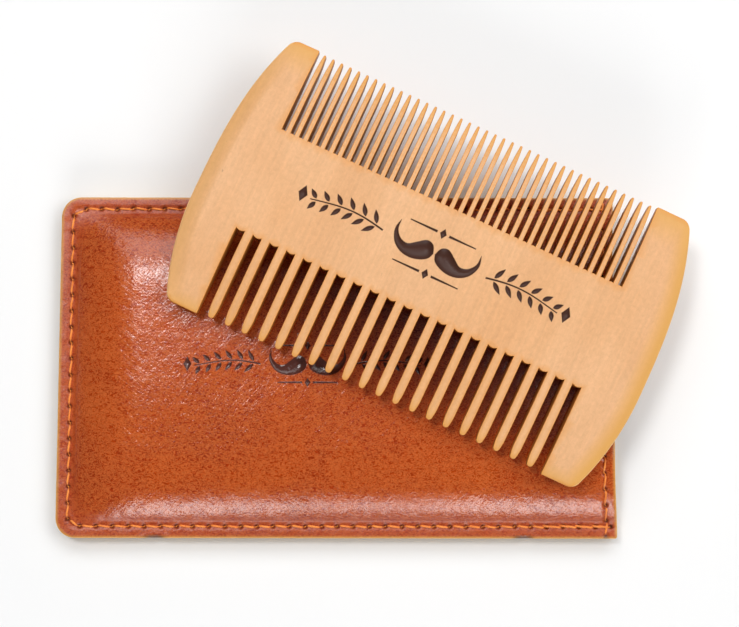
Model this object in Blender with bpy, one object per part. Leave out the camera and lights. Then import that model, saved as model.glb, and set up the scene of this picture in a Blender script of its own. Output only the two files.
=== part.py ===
"""A two-sided wooden beard comb lying on its stitched leather sleeve.

The origin is the centre of the sleeve's underside. +X runs along the sleeve towards its open mouth,
+Y runs across it and +Z is up. Every length is in metres.
"""

import math

import bmesh
import bpy
from mathutils import Vector

MM = 0.001

# Comb: the board
COMB_LENGTH = 105.8 * MM
SPINE_WIDTH = 23.2 * MM
COMB_THICKNESS = 6.0 * MM
TIP_THICKNESS = 2.2 * MM
END_RIM_THICKNESS = 3.0 * MM
END_BEVEL_WIDTH = 3.8 * MM
COMB_CORNER_RADIUS = 1.6 * MM
FACE_TAPER_POWER = 2.5
END_BEVEL_POWER = 1.4

# Comb: the curved ends are widest a little to the coarse side of the middle
WIDEST_LINE_Y = -7.0 * MM
FINE_END_NARROWING = 5.7 * MM
FINE_END_POWER = 2.8
COARSE_END_NARROWING = 4.7 * MM
COARSE_END_POWER = 2.1

# Comb: the two rows of teeth
END_PIECE_WIDTH = 12.1 * MM
FINE_TOOTH_LENGTH = 19.3 * MM
FINE_PITCH = 2.04 * MM
FINE_GAP = 1.0 * MM
FINE_TIP_WIDTH = 0.56 * MM
FINE_TIP_TAPER = 4.3 * MM
FINE_ROW_SHIFT = -0.8 * MM
COARSE_TOOTH_LENGTH = 20.4 * MM
COARSE_PITCH = 3.97 * MM
COARSE_GAP = 2.05 * MM
COARSE_TIP_WIDTH = 1.4 * MM
COARSE_TIP_TAPER = 3.2 * MM
COARSE_ROW_SHIFT = -0.2 * MM
TOOTH_SETBACK = 0.4 * MM
ROOT_RISE_SHARE = 0.15

# Where the comb lies on the sleeve
COMB_TURN = math.radians(-24.9)
COMB_PLACE_X = 20.4 * MM
COMB_PLACE_Y = 22.5 * MM
COMB_REST_GAP = 0.3 * MM

# Sleeve: what the comb needs round it
SLEEVE_END_ALLOWANCE = 17.4 * MM
SLEEVE_SIDE_ALLOWANCE = 12.6 * MM
POCKET_CLEARANCE = 0.3 * MM
SLEEVE_CORNER_RADIUS = 4.4 * MM

# Sleeve: its sheets
LEATHER_THICKNESS = 1.2 * MM
LINING_THICKNESS = 0.35 * MM
SHEET_GAP = 0.25 * MM
DOME_RUN = 15.0 * MM
DOME_POWER = 2.2
FOOT_RUN = 2.5 * MM

# Sleeve: its stitching
THREAD_DIAMETER = 0.5 * MM
THREAD_GAP = 0.1 * MM
SEAM_INSET = 2.6 * MM
SEAM_TO_FOOT = 0.75 * MM
SEAM_END_INSET = 1.3 * MM
MOUTH_INSET = 2.4 * MM
GROOVE_SLOPE = 0.15 * MM
BOBBIN_STOP = 1.5 * MM

# Sizes that follow from the ones above
COMB_WIDTH = FINE_TOOTH_LENGTH + SPINE_WIDTH + COARSE_TOOTH_LENGTH
COARSE_ROOT_Y = COARSE_TOOTH_LENGTH - COMB_WIDTH / 2
FINE_ROOT_Y = COMB_WIDTH / 2 - FINE_TOOTH_LENGTH
SLEEVE_LENGTH = COMB_LENGTH + SLEEVE_END_ALLOWANCE
SLEEVE_WIDTH = COMB_WIDTH + SLEEVE_SIDE_ALLOWANCE
THREAD_RADIUS = THREAD_DIAMETER / 2
THREAD_ROOM = THREAD_DIAMETER + 2 * THREAD_GAP
HEM_WIDTH = SEAM_INSET + THREAD_RADIUS + SEAM_TO_FOOT
THREAD_HEIGHT = THREAD_DIAMETER + THREAD_GAP
SEAM_Y = SLEEVE_WIDTH / 2 - SEAM_INSET
MOUTH_STITCH_X = SLEEVE_LENGTH / 2 - MOUTH_INSET

# Levels of the flat parts of the sleeve's sheets, from the table up
HEM_UNDERSIDE = THREAD_ROOM
LINING_STEP = LEATHER_THICKNESS + SHEET_GAP
BACK_LINING_TOP = LINING_STEP + LINING_THICKNESS
FRONT_LINING_HEM = HEM_UNDERSIDE + BACK_LINING_TOP + SHEET_GAP
FRONT_PANEL_HEM = FRONT_LINING_HEM + LINING_THICKNESS + SHEET_GAP
POCKET_HEIGHT = COMB_THICKNESS + 2 * THREAD_HEIGHT + POCKET_CLEARANCE
FRONT_LINING_DOME = BACK_LINING_TOP + POCKET_HEIGHT
DOME_RISE = FRONT_LINING_DOME - FRONT_LINING_HEM
SLEEVE_HEIGHT = FRONT_PANEL_HEM + DOME_RISE + LEATHER_THICKNESS

WOOD_COLOUR = (0.83, 0.56, 0.33, 1.0)
LEATHER_COLOUR = (0.42, 0.11, 0.035, 1.0)
LINING_COLOUR = (0.30, 0.17, 0.09, 1.0)
THREAD_COLOUR = (0.80, 0.26, 0.05, 1.0)


def clear_scene():
    """Remove the objects that the file starts with."""
    for item in list(bpy.data.objects):
        bpy.data.objects.remove(item, do_unlink=True)


def make_material(name, colour, roughness):
    """One plain material for a piece."""
    material = bpy.data.materials.new(name)
    material.use_nodes = True
    shader = material.node_tree.nodes["Principled BSDF"]
    shader.inputs["Base Color"].default_value = colour
    shader.inputs["Roughness"].default_value = roughness
    shader.inputs["Metallic"].default_value = 0.0
    return material


def add_object(name, data, material=None):
    """Link new object data to the scene under its own name."""
    item = bpy.data.objects.new(name, data)
    bpy.context.scene.collection.objects.link(item)
    if material is not None:
        data.materials.append(material)
    return item


def spread(start, end, count):
    """Evenly spaced values from start to end, both included."""
    return [start + (end - start) * step / (count - 1) for step in range(count)]


def distinct(values, closest=0.1 * MM):
    """The values in rising order, without those that nearly repeat the one before."""
    kept = []
    for value in sorted(values):
        if not kept or value - kept[-1] > closest:
            kept.append(value)
    return kept


def closed_sheet(name, columns, rows, place, material):
    """A closed solid from two matching grids of points, upper and lower.

    place(column, row, side) gives a corner, with side 1 for the upper face and 0 for the lower one.
    """
    mesh = bmesh.new()
    grid = [
        [[mesh.verts.new(place(column, row, side)) for row in rows] for column in columns]
        for side in (0, 1)
    ]
    lower, upper = grid
    for i in range(len(columns) - 1):
        for j in range(len(rows) - 1):
            mesh.faces.new((upper[i][j], upper[i + 1][j], upper[i + 1][j + 1], upper[i][j + 1]))
            mesh.faces.new((lower[i][j], lower[i][j + 1], lower[i + 1][j + 1], lower[i + 1][j]))
    last_column = len(columns) - 1
    last_row = len(rows) - 1
    for i in range(last_column):
        mesh.faces.new((lower[i][0], lower[i + 1][0], upper[i + 1][0], upper[i][0]))
        mesh.faces.new((lower[i + 1][last_row], lower[i][last_row], upper[i][last_row], upper[i + 1][last_row]))
    for j in range(last_row):
        mesh.faces.new((lower[0][j + 1], lower[0][j], upper[0][j], upper[0][j + 1]))
        mesh.faces.new(
            (lower[last_column][j], lower[last_column][j + 1], upper[last_column][j + 1], upper[last_column][j])
        )
    bmesh.ops.triangulate(mesh, faces=mesh.faces[:])
    bmesh.ops.recalc_face_normals(mesh, faces=mesh.faces[:])
    data = bpy.data.meshes.new(name)
    mesh.to_mesh(data)
    mesh.free()
    return add_object(name, data, material)


# Comb

def end_narrowing(y):
    """How far the comb's curved end has drawn in at y from its widest line."""
    if y > WIDEST_LINE_Y:
        reach = (y - WIDEST_LINE_Y) / (COMB_WIDTH / 2 - WIDEST_LINE_Y)
        return FINE_END_NARROWING * reach ** FINE_END_POWER
    reach = (WIDEST_LINE_Y - y) / (COMB_WIDTH / 2 + WIDEST_LINE_Y)
    return COARSE_END_NARROWING * reach ** COARSE_END_POWER


def corner_rounding(y):
    """How far the rounded corner has drawn in at y."""
    into_corner = abs(y) - (COMB_WIDTH / 2 - COMB_CORNER_RADIUS)
    if into_corner <= 0:
        return 0.0
    return COMB_CORNER_RADIUS - math.sqrt(max(COMB_CORNER_RADIUS ** 2 - into_corner ** 2, 0.0))


def comb_half_length(y):
    """Half the comb's length at y."""
    return COMB_LENGTH / 2 - end_narrowing(y) - corner_rounding(y)


def tooth_reach(y):
    """0 on the spine, rising to 1 at the tips of the row on y's side."""
    if y > 0:
        return max(y - FINE_ROOT_Y, 0.0) / FINE_TOOTH_LENGTH
    return max(COARSE_ROOT_Y - y, 0.0) / COARSE_TOOTH_LENGTH


def comb_half_thickness(y, rim_distance):
    """Half the board's thickness: full on the spine, thin at the tips and at the bevelled ends."""
    fullness = 1 - tooth_reach(y) ** FACE_TAPER_POWER
    inward = min(rim_distance / END_BEVEL_WIDTH, 1.0)
    rim_share = (END_RIM_THICKNESS - TIP_THICKNESS) / (COMB_THICKNESS - TIP_THICKNESS)
    end_share = rim_share + (1 - rim_share) * (1 - (1 - inward) ** END_BEVEL_POWER)
    return (TIP_THICKNESS + (COMB_THICKNESS - TIP_THICKNESS) * fullness * end_share) / 2


def comb_rows():
    """The lines across the comb that carry its curved ends, tapered faces and rounded corners."""
    reaches = (0.0, 0.25, 0.45, 0.62, 0.78)
    rows = [FINE_ROOT_Y + FINE_TOOTH_LENGTH * reach for reach in reaches]
    rows += [COARSE_ROOT_Y - COARSE_TOOTH_LENGTH * reach for reach in reaches]
    rows += [WIDEST_LINE_Y, (WIDEST_LINE_Y + FINE_ROOT_Y) / 2]
    for angle in spread(0.0, math.pi / 2, 4):
        row = COMB_WIDTH / 2 - COMB_CORNER_RADIUS * (1 - math.sin(angle))
        rows += [row, -row]
    return distinct(rows)


def make_comb_blank(material):
    """The comb before its slots are sawn."""
    rim_distances = [END_BEVEL_WIDTH * share for share in (0.0, 0.12, 0.4, 0.7, 1.0)]
    columns = [(-1, distance) for distance in rim_distances]
    columns += [(1, distance) for distance in reversed(rim_distances)]

    def place(column, y, side):
        hand, rim_distance = column
        x = hand * (comb_half_length(y) - rim_distance)
        z = comb_half_thickness(y, rim_distance)
        return (x, y, z if side else -z)

    return closed_sheet("comb", columns, comb_rows(), place, material)


def tooth_side(root_width, tip_width, taper, tip_y):
    """Half-widths and heights up one side of a tooth, from where it starts to taper to its tip."""
    tip_radius = tip_width / 2
    cheek_y = tip_y - tip_radius
    taper_start = tip_y - taper
    points = []
    for share in (0.0, 0.45, 0.8):
        half_width = root_width / 2 - (root_width - tip_width) / 2 * share ** 1.5
        points.append((half_width, taper_start + (cheek_y - taper_start) * share))
    for angle in (0.0, math.pi / 5, math.pi / 3):
        points.append((tip_radius * math.cos(angle), cheek_y + tip_radius * math.sin(angle)))
    return points


def slot_outline(root_y, tip_y, clear_y, pitch, gap, tip_width, taper, shift):
    """The outline of everything sawn away from one row, for teeth that point to +Y."""
    room = COMB_LENGTH - 2 * END_PIECE_WIDTH
    teeth = int((room - gap) / pitch)
    first_slot = shift - teeth * pitch / 2
    side = tooth_side(pitch - gap, tip_width, taper, tip_y)
    outline = [(first_slot - gap / 2, clear_y)]
    for slot in range(teeth + 1):
        middle = first_slot + slot * pitch
        outline.append((middle - gap / 2, root_y))
        outline.append((middle, root_y + gap * ROOT_RISE_SHARE))
        outline.append((middle + gap / 2, root_y))
        if slot < teeth:
            tooth = middle + pitch / 2
            outline += [(tooth - half_width, y) for half_width, y in side]
            outline.append((tooth, tip_y))
            outline += [(tooth + half_width, y) for half_width, y in reversed(side)]
    outline.append((first_slot + teeth * pitch + gap / 2, clear_y))
    return outline


def make_slot_cutter(name, outline, hand):
    """A tall prism of a slot outline, flipped to the comb's other side where hand is -1."""
    mesh = bmesh.new()
    depth = COMB_THICKNESS
    base = mesh.faces.new([mesh.verts.new((x, hand * y, -depth)) for x, y in outline])
    raised = bmesh.ops.extrude_face_region(mesh, geom=[base])
    top = [part for part in raised["geom"] if isinstance(part, bmesh.types.BMVert)]
    bmesh.ops.translate(mesh, verts=top, vec=(0.0, 0.0, 2 * depth))
    bmesh.ops.recalc_face_normals(mesh, faces=mesh.faces[:])
    data = bpy.data.meshes.new(name)
    mesh.to_mesh(data)
    mesh.free()
    cutter = add_object(name, data)
    cutter.hide_render = True
    cutter.display_type = "WIRE"
    return cutter


def make_comb(material):
    """The comb: a board with two rows of slots, turned and laid on the sleeve."""
    place = bpy.data.objects.new("comb_place", None)
    bpy.context.scene.collection.objects.link(place)
    comb = make_comb_blank(material)
    clear_y = COMB_WIDTH / 2 + TOOTH_SETBACK + COMB_CORNER_RADIUS
    tip_y = COMB_WIDTH / 2 - TOOTH_SETBACK
    fine = slot_outline(
        FINE_ROOT_Y, tip_y, clear_y, FINE_PITCH, FINE_GAP, FINE_TIP_WIDTH, FINE_TIP_TAPER, FINE_ROW_SHIFT
    )
    coarse = slot_outline(
        -COARSE_ROOT_Y, tip_y, clear_y, COARSE_PITCH, COARSE_GAP, COARSE_TIP_WIDTH, COARSE_TIP_TAPER,
        COARSE_ROW_SHIFT,
    )
    cutters = [
        make_slot_cutter("fine_slots_cutter", fine, 1),
        make_slot_cutter("coarse_slots_cutter", coarse, -1),
    ]
    for item in [comb, *cutters]:
        item.parent = place
    for cutter in cutters:
        cut = comb.modifiers.new(cutter.name, "BOOLEAN")
        cut.operation = "DIFFERENCE"
        cut.solver = "EXACT"
        cut.object = cutter
    place.location = (COMB_PLACE_X, COMB_PLACE_Y, SLEEVE_HEIGHT + COMB_REST_GAP + COMB_THICKNESS / 2)
    place.rotation_euler = (0.0, 0.0, COMB_TURN)
    return comb


# Sleeve

def half_width_at(x):
    """Half the sleeve's width at x, drawn in round its two closed corners."""
    from_end = x + SLEEVE_LENGTH / 2
    if from_end >= SLEEVE_CORNER_RADIUS:
        return SLEEVE_WIDTH / 2
    across = SLEEVE_CORNER_RADIUS - from_end
    drawn_in = SLEEVE_CORNER_RADIUS - math.sqrt(max(SLEEVE_CORNER_RADIUS ** 2 - across ** 2, 0.0))
    return SLEEVE_WIDTH / 2 - drawn_in


def ease(distance, run, power):
    """0 at the foot of a slope, rising steeply at first and levelling out at 1 after the run."""
    along = min(max(distance / run, 0.0), 1.0)
    return 1 - (1 - along) ** power


def dome(x, y):
    """How far the front has risen: 0 on the hem of the three closed sides, 1 on the plateau."""
    from_side = SLEEVE_WIDTH / 2 - HEM_WIDTH - abs(y)
    from_end = x + SLEEVE_LENGTH / 2 - HEM_WIDTH
    return ease(from_side, DOME_RUN, DOME_POWER) * ease(from_end, DOME_RUN, DOME_POWER)


def back_rise(x, y):
    """Height of the back panel's underside: on the table, and raised under the hem for the thread."""
    from_side = SLEEVE_WIDTH / 2 - HEM_WIDTH - abs(y)
    from_end = x + SLEEVE_LENGTH / 2 - HEM_WIDTH
    return HEM_UNDERSIDE * (1 - ease(min(from_side, from_end), FOOT_RUN, DOME_POWER))


def groove(x):
    """1 along the line of the mouth's stitches, where the leather is grooved for the thread, else 0."""
    off_line = abs(x - MOUTH_STITCH_X) - THREAD_RADIUS - THREAD_GAP
    return 1 - ease(off_line, GROOVE_SLOPE, 1.0)


def sheet_columns(end_inset):
    """Positions along the sleeve where its sheets need a line of corners."""
    closed_end = -SLEEVE_LENGTH / 2
    corner = [SLEEVE_CORNER_RADIUS * (1 - math.cos(angle)) for angle in spread(0.0, math.pi / 2, 4)]
    slope = [HEM_WIDTH + DOME_RUN * share for share in (0.0, 0.12, 0.28, 0.5, 0.75, 1.0)]
    columns = [closed_end + offset for offset in corner + slope]
    columns += spread(closed_end + HEM_WIDTH + DOME_RUN, SLEEVE_LENGTH / 2 - end_inset, 6)
    groove_half = THREAD_RADIUS + THREAD_GAP
    for offset in (groove_half, groove_half + GROOVE_SLOPE):
        columns += [MOUTH_STITCH_X - offset, MOUTH_STITCH_X + offset]
    return distinct(columns)


def sheet_rows():
    """Positions across the sleeve, as shares of its half width."""
    foot = SLEEVE_WIDTH / 2 - HEM_WIDTH
    rows = [SLEEVE_WIDTH / 2, 0.0]
    rows += [foot - DOME_RUN * share for share in (0.0, 0.12, 0.28, 0.5, 0.75, 1.0)]
    rows = [row / (SLEEVE_WIDTH / 2) for row in rows]
    return distinct(rows + [-row for row in rows], 0.0001)


def make_sheet(name, lower, thickness, end_inset, material):
    """A leather or lining sheet. lower(x, y) gives the height of its underside."""

    def place(x, row, side):
        y = row * half_width_at(x)
        base = lower(x, y)
        if not side:
            return (x, y, base)
        return (x, y, base + thickness(x, y))

    return closed_sheet(name, sheet_columns(end_inset), sheet_rows(), place, material)


def make_sheets(leather, lining):
    """The front and back panels, each with the lining that backs it."""
    lining_inset = SHEET_GAP

    def back_under(x, y):
        return max(back_rise(x, y), THREAD_ROOM * groove(x))

    def back_thickness(x, y):
        return back_rise(x, y) + LEATHER_THICKNESS - back_under(x, y)

    make_sheet("case_back_panel", back_under, back_thickness, 0.0, leather)
    make_sheet(
        "back_lining",
        lambda x, y: back_rise(x, y) + LINING_STEP,
        lambda x, y: LINING_THICKNESS,
        lining_inset,
        lining,
    )
    make_sheet(
        "front_lining",
        lambda x, y: FRONT_LINING_HEM + DOME_RISE * dome(x, y),
        lambda x, y: LINING_THICKNESS,
        lining_inset,
        lining,
    )
    make_sheet(
        "case_front_panel",
        lambda x, y: FRONT_PANEL_HEM + DOME_RISE * dome(x, y),
        lambda x, y: LEATHER_THICKNESS - THREAD_HEIGHT * groove(x),
        0.0,
        leather,
    )


# Stitching

def make_thread(name, points, material):
    """A thread as a round tube along its points."""
    curve = bpy.data.curves.new(name, "CURVE")
    curve.dimensions = "3D"
    curve.bevel_depth = THREAD_RADIUS
    curve.bevel_resolution = 2
    curve.use_fill_caps = True
    spline = curve.splines.new("POLY")
    spline.points.add(len(points) - 1)
    for target, point in zip(spline.points, points):
        target.co = (*point, 1.0)
    return add_object(name, curve, material)


def seam_path(z):
    """The seam's line round the three closed sides, from the mouth and back to it."""
    radius = SLEEVE_CORNER_RADIUS - SEAM_INSET
    mouth_end = SLEEVE_LENGTH / 2 - SEAM_END_INSET
    closed_end = SEAM_INSET - SLEEVE_LENGTH / 2
    half = [(x, SEAM_Y) for x in spread(mouth_end, closed_end + radius, 12)]
    for angle in spread(math.pi / 8, math.pi / 2, 4):
        half.append((closed_end + radius - radius * math.sin(angle), SEAM_Y - radius + radius * math.cos(angle)))
    half += [(closed_end, y) for y in spread(SEAM_Y - radius, 0.0, 5)[1:]]
    other = [(x, -y) for x, y in reversed(half[:-1])]
    return [(x, y, z) for x, y in half + other]


def mouth_path(half_span, height, lift):
    """A line across the sleeve at the mouth's stitches, held off the surface height(x, y) by lift."""
    ys = spread(-half_span, half_span, 41)
    surface = [Vector((0.0, y, height(MOUTH_STITCH_X, y))) for y in ys]
    points = []
    for index, point in enumerate(surface):
        before = surface[max(index - 1, 0)]
        after = surface[min(index + 1, len(surface) - 1)]
        along = (after - before).normalized()
        normal = Vector((0.0, -along.z, along.y))
        held = point + normal * lift
        points.append((MOUTH_STITCH_X, held.y, held.z))
    return points


def make_threads(thread):
    """The lockstitch threads of the seam and of the two mouth hems."""
    off_surface = THREAD_GAP + THREAD_RADIUS
    front_top = FRONT_PANEL_HEM + LEATHER_THICKNESS
    foot = SLEEVE_WIDTH / 2 - HEM_WIDTH
    outside_span = foot - THREAD_GAP
    inside_span = foot - BOBBIN_STOP

    make_thread("seam_needle_thread", seam_path(front_top + off_surface), thread)
    make_thread("seam_bobbin_thread", seam_path(HEM_UNDERSIDE - off_surface), thread)
    make_thread(
        "front_mouth_needle_thread",
        mouth_path(outside_span, lambda x, y: front_top - THREAD_HEIGHT + DOME_RISE * dome(x, y), off_surface),
        thread,
    )
    make_thread(
        "front_mouth_bobbin_thread",
        mouth_path(inside_span, lambda x, y: FRONT_LINING_HEM + DOME_RISE * dome(x, y), -off_surface),
        thread,
    )
    make_thread(
        "back_mouth_bobbin_thread",
        mouth_path(inside_span, lambda x, y: BACK_LINING_TOP + back_rise(x, y), off_surface),
        thread,
    )
    make_thread("back_mouth_needle_thread", mouth_path(outside_span, lambda x, y: 0.0, off_surface), thread)


def main():
    clear_scene()
    wood = make_material("comb_wood", WOOD_COLOUR, 0.55)
    leather = make_material("sleeve_leather", LEATHER_COLOUR, 0.38)
    lining = make_material("sleeve_lining", LINING_COLOUR, 0.85)
    thread = make_material("sleeve_thread", THREAD_COLOUR, 0.6)
    make_comb(wood)
    make_sheets(leather, lining)
    make_threads(thread)


main()
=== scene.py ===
"""Looks for the beard comb lying on its stitched leather sleeve.

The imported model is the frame. Its solids are replaced by finer meshes, and most shape sizes below repeat
those of the part. The dome's slope and sag, the end bevel's curve and the coarse teeth's tips differ a
little for the looks. Lengths are in metres, +X runs to the sleeve's mouth, +Z is up.
"""

import math
import random

import bmesh
import bpy
import numpy as np
from mathutils import Matrix, Vector
from mathutils.geometry import delaunay_2d_cdt


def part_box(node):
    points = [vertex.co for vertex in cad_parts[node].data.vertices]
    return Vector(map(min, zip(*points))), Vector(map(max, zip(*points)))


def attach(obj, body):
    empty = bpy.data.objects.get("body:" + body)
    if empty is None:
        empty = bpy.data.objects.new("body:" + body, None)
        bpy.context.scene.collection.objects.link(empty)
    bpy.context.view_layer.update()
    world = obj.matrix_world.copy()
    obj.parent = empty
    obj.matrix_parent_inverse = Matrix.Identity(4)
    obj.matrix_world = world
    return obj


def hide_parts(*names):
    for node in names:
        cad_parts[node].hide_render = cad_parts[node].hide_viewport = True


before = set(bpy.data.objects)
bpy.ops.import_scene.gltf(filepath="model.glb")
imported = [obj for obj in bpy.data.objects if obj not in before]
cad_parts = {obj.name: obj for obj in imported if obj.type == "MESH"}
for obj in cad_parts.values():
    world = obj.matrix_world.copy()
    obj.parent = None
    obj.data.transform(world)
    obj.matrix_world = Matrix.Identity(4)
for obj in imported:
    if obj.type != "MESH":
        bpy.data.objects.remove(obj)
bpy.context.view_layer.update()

MM = 0.001
SEED = 11
dice = random.Random(SEED)

# Comb
COMB_LENGTH = 105.8 * MM
COMB_WIDTH = 62.9 * MM
COMB_THICKNESS = 6.0 * MM
TIP_THICKNESS = 2.2 * MM
END_RIM_THICKNESS = 3.0 * MM
END_BEVEL_WIDTH = 3.8 * MM
END_BEVEL_POWER = 1.2
FACE_TAPER_POWER = 2.5
COMB_CORNER_RADIUS = 1.6 * MM
WIDEST_LINE_Y = -7.0 * MM
FINE_END_NARROWING = 5.7 * MM
FINE_END_POWER = 2.8
COARSE_END_NARROWING = 4.7 * MM
COARSE_END_POWER = 2.1
TOOTH_SETBACK = 0.4 * MM
FINE_ROW = {
    "teeth": 39, "length": 19.3 * MM, "pitch": 2.04 * MM, "gap": 1.0 * MM, "tip": 0.56 * MM,
    "taper": 4.3 * MM, "shift": -0.8 * MM, "root_rise": 0.12 * MM,
}
COARSE_ROW = {
    "teeth": 20, "length": 20.4 * MM, "pitch": 3.97 * MM, "gap": 2.05 * MM, "tip": 1.45 * MM,
    "taper": 2.8 * MM, "shift": -0.2 * MM, "root_rise": 0.36 * MM,
}
COMB_TURN = math.radians(-24.9)
COMB_PLACE = (20.4 * MM, 22.5 * MM)

# Sleeve
SLEEVE_LENGTH = 123.2 * MM
SLEEVE_WIDTH = 75.5 * MM
SLEEVE_CORNER_RADIUS = 4.4 * MM
LEATHER_THICKNESS = 1.2 * MM
LINING_THICKNESS = 0.35 * MM
SHEET_GAP = 0.25 * MM
HEM_WIDTH = 3.6 * MM
DOME_RUN = 18.0 * MM
DOME_RISE = 6.55 * MM
DOME_POWER = 2.7
FOOT_RUN = 2.5 * MM
HEM_UNDERSIDE = 0.7 * MM
BACK_LINING_UNDER = 1.45 * MM
FRONT_LINING_UNDER = 2.75 * MM
FRONT_PANEL_UNDER = 3.35 * MM

# Stitching
THREAD_RADIUS = 0.25 * MM
THREAD_HEIGHT = 0.6 * MM
THREAD_PROUD = 0.2 * MM
THREAD_TWIST = 1.5 * MM
THREAD_SIDES = 12
THREAD_DIP = 0.8 * MM
STITCH_SLANT = 0.5 * MM
STITCH_SCATTER = 0.05 * MM
STITCH = 3.55 * MM
SEAM_INSET = 2.6 * MM
SEAM_Y = SLEEVE_WIDTH / 2 - SEAM_INSET
SEAM_X = SEAM_INSET - SLEEVE_LENGTH / 2
SEAM_CORNER = 1.8 * MM
SEAM_END_X = 60.3 * MM
MOUTH_STITCH_X = 59.2 * MM
MOUTH_DRAWN_IN = 1.15 * MM
HOLE_RADIUS = 0.42 * MM
HOLE_DEPTH = 0.85 * MM
BACK_TACKS = 4

# Wear
NICKS = (-39.8 * MM, 41.0 * MM)
NICK_STRETCH = 2.6
CLOSED_END_SAG = 0.6 * MM
SIDE_SAG = 0.3 * MM

# Edges and engraving. Meshes carry marks from 0 to 1 for their materials: rim on edges, burn on engraving.
# The leather's burn mark also darkens its needle holes and holds painted shade in its nicks.
EDGE_ANGLES = np.radians((0.0, 30.0, 60.0, 90.0))
EDGE_MARK_STEP = 0.2
INNER_EDGE_MARK = 0.35
WALL_TOP_MARK = 0.75
ENGRAVING_LIP = 0.1 * MM
ENGRAVING_WALL = 0.08 * MM


# Meshes made over an outline

def smoothed_normals(loop):
    """Inward unit normals of a closed counter-clockwise loop, lengthened a little at corners."""
    before = loop - np.roll(loop, 1, axis=0)
    after = np.roll(loop, -1, axis=0) - loop
    before /= np.linalg.norm(before, axis=1)[:, None]
    after /= np.linalg.norm(after, axis=1)[:, None]
    along = before + after
    along /= np.maximum(np.linalg.norm(along, axis=1), 1e-9)[:, None]
    inward = np.stack([-along[:, 1], along[:, 0]], axis=1)
    corner = np.abs(np.sum(along * after, axis=1))
    return inward / np.clip(corner, 0.72, 1.0)[:, None]


def anticlockwise(loop):
    """The loop, turned round if it runs clockwise."""
    x, y = loop[:, 0], loop[:, 1]
    area = np.sum(x * np.roll(y, -1) - np.roll(x, -1) * y)
    return loop if area > 0 else loop[::-1]


def inside(loop, points):
    """Which points lie inside a closed loop."""
    found = np.zeros(len(points), bool)
    x, y = points[:, 0], points[:, 1]
    for (ax, ay), (bx, by) in zip(loop, np.roll(loop, -1, axis=0)):
        if ay == by:
            continue
        crosses = (ay > y) != (by > y)
        found ^= crosses & (x < (bx - ax) * (y - ay) / (by - ay) + ax)
    return found


def near_box(loop, points):
    """Which points lie within the loop's box."""
    return np.all((points > loop.min(axis=0)) & (points < loop.max(axis=0)), axis=1)


def triangulate(loops, points):
    """Points and triangles inside the first loop that keep every loop's edges, and each input's place."""
    coords = []
    edges = []
    for loop in loops:
        start = len(coords)
        coords += [Vector(point) for point in loop.tolist()]
        edges += [(start + i, start + (i + 1) % len(loop)) for i in range(len(loop))]
    coords += [Vector(point) for point in points.tolist()]
    verts, _, faces, origins, _, _ = delaunay_2d_cdt(coords, edges, [], 1, 1e-8)
    place = {}
    for index, sources in enumerate(origins):
        for source in sources:
            place[source] = index
    return np.array([tuple(v) for v in verts]), faces, place


def new_piece(name, verts, faces):
    """A smooth mesh object in the scene."""
    data = bpy.data.meshes.new(name)
    data.from_pydata(verts, [], faces)
    data.shade_smooth()
    data.update()
    item = bpy.data.objects.new(name, data)
    bpy.context.scene.collection.objects.link(item)
    return item


def set_mark(data, name, values):
    """Give each vertex of a mesh a number, under a name that a material can read."""
    layer = data.attributes.get(name) or data.attributes.new(name, "FLOAT", "POINT")
    layer.data.foreach_set("value", np.asarray(values, np.float32))


def read_mark(data, name):
    """The number that each vertex carries under a name."""
    values = np.empty(len(data.vertices), np.float32)
    data.attributes[name].data.foreach_get("value", values)
    return values


def band(first, second):
    """Faces between two closed rings of vertex numbers."""
    return list(zip(first, first[1:] + first[:1], second[1:] + second[:1], second))


def engraving_loops(shape, wall):
    """Three loops for an engraved shape: its untouched surround, the top and the foot of its wall."""
    shape = anticlockwise(shape)
    inward = smoothed_normals(shape)
    return shape - inward * ENGRAVING_LIP, shape, shape + inward * wall


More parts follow.
